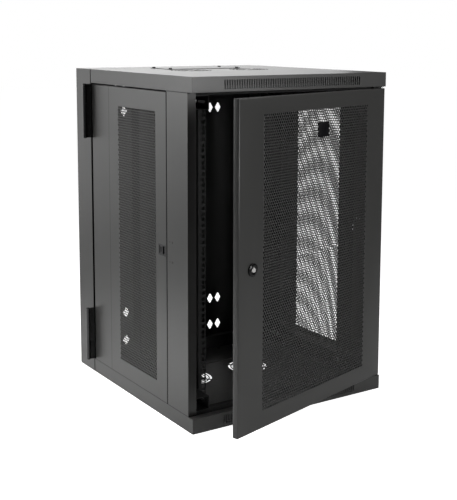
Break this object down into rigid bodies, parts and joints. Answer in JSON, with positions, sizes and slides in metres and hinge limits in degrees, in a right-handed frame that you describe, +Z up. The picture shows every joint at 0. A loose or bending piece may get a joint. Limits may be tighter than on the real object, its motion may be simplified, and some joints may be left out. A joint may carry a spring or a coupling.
{
  "type": "wall mount network cabinet",
  "caption": "Swing-out wall-mount network cabinet with a perforated key-locked door, perforated side panels, square-hole rack rails, fan grilles and cable entries.",
  "frame": {"origin": "centre of the face that goes against the wall", "axes": "+Y into the wall, -Y out of the cabinet's front, +Z up, +X to the right seen from the front"},
  "size_m": [0.6515, 0.8366, 0.9065],
  "materials": {
    "sheet_steel": "satin black powder coat",
    "rail_steel": "satin black powder coat",
    "perforated_steel": "satin black powder coat",
    "hinge_black": "black painted casting",
    "black_screws": "black oxide",
    "zinc_plate": "bright zinc plate",
    "lock_black": "gloss black",
    "key_plug": "nickel plate",
    "moulded_black": "moulded nylon",
    "rubber": "soft bumper"
  },
  "bodies": {
    "wall_section": {"wall_shell": "sheet_steel", "wall_back_panel": "sheet_steel", "wall_hinge_leaf_upper": "hinge_black", "wall_hinge_leaf_lower": "hinge_black", "swing_hinge_pin_upper": "hinge_black", "swing_hinge_pin_lower": "hinge_black", "swing_lock_housing": "lock_black", "swing_lock_nut": "zinc_plate"},
    "cabinet": {"top_cover": "sheet_steel", "base_pan": "sheet_steel", "top_cable_plate": "sheet_steel", "top_cable_plate_screws": "black_screws", "base_cable_plate": "sheet_steel", "base_cable_plate_screws": "black_screws", "front_post_left": "sheet_steel", "front_post_right": "sheet_steel", "panel_jamb_left": "sheet_steel", "panel_jamb_right": "sheet_steel", "rear_post_left": "sheet_steel", "rear_post_right": "sheet_steel", "front_header": "sheet_steel", "front_sill": "sheet_steel", "rear_header": "sheet_steel", "rear_sill": "sheet_steel", "upper_brace_left": "sheet_steel", "lower_brace_left": "sheet_steel", "upper_brace_right": "sheet_steel", "lower_brace_right": "sheet_steel", "front_rail_left": "rail_steel", "front_rail_right": "rail_steel", "rear_rail_left": "rail_steel", "rear_rail_right": "rail_steel", "cabinet_hinge_leaf_upper": "hinge_black", "cabinet_hinge_leaf_lower": "hinge_black", "door_bush_upper": "moulded_black", "door_bush_lower": "moulded_black", "swing_lock_keeper": "zinc_plate"},
    "front_door": {"door_skin": "sheet_steel", "door_mesh": "perforated_steel", "door_stile_free": "sheet_steel", "door_stile_hinge": "sheet_steel", "door_pin_upper": "zinc_plate", "door_pin_lower": "zinc_plate", "door_bumpers": "rubber", "door_lock_housing": "lock_black", "door_lock_nut": "zinc_plate"},
    "door_key": {"door_lock_plug": "key_plug", "door_lock_cam": "zinc_plate"},
    "left_panel": {"side_panel_left": "sheet_steel", "side_mesh_left": "perforated_steel", "latch_bezel_left": "moulded_black"},
    "left_latch": {"latch_slider_left": "moulded_black"},
    "right_panel": {"side_panel_right": "sheet_steel", "side_mesh_right": "perforated_steel", "latch_bezel_right": "moulded_black"},
    "right_latch": {"latch_slider_right": "moulded_black"},
    "swing_key": {"swing_lock_plug": "key_plug", "swing_lock_cam": "zinc_plate"}
  },
  "joints": [
    {"name": "cabinet_swing", "type": "hinge", "parent": "wall_section", "child": "cabinet", "pos_m": [-0.3305, -0.09975, 0], "axis": [0, 0, -1], "range_deg": [0, 90]},
    {"name": "door_swing", "type": "hinge", "parent": "cabinet", "child": "front_door", "pos_m": [0.302, -0.661, 0], "axis": [0, 0, 1], "range_deg": [-16, 114]},
    {"name": "door_key_turn", "type": "hinge", "parent": "front_door", "child": "door_key", "pos_m": [-0.2352, -0.82284, -0.003], "axis": [0.2756, -0.9613, 0], "range_deg": [0, 90]},
    {"name": "left_panel_swing", "type": "hinge", "parent": "cabinet", "child": "left_panel", "pos_m": [-0.31, -0.1065, 0], "axis": [0, 0, -1], "range_deg": [0, 30]},
    {"name": "left_latch_slide", "type": "slide", "parent": "left_panel", "child": "left_latch", "axis": [0, -1, 0], "range_m": [0, 0.01]},
    {"name": "right_panel_swing", "type": "hinge", "parent": "cabinet", "child": "right_panel", "pos_m": [0.31, -0.1065, 0], "axis": [0, 0, 1], "range_deg": [0, 30]},
    {"name": "right_latch_slide", "type": "slide", "parent": "right_panel", "child": "right_latch", "axis": [0, -1, 0], "range_m": [0, 0.01]},
    {"name": "swing_key_turn", "type": "hinge", "parent": "wall_section", "child": "swing_key", "pos_m": [0.31, -0.06, 0], "axis": [-1, 0, 0], "range_deg": [0, 90]}
  ]
}
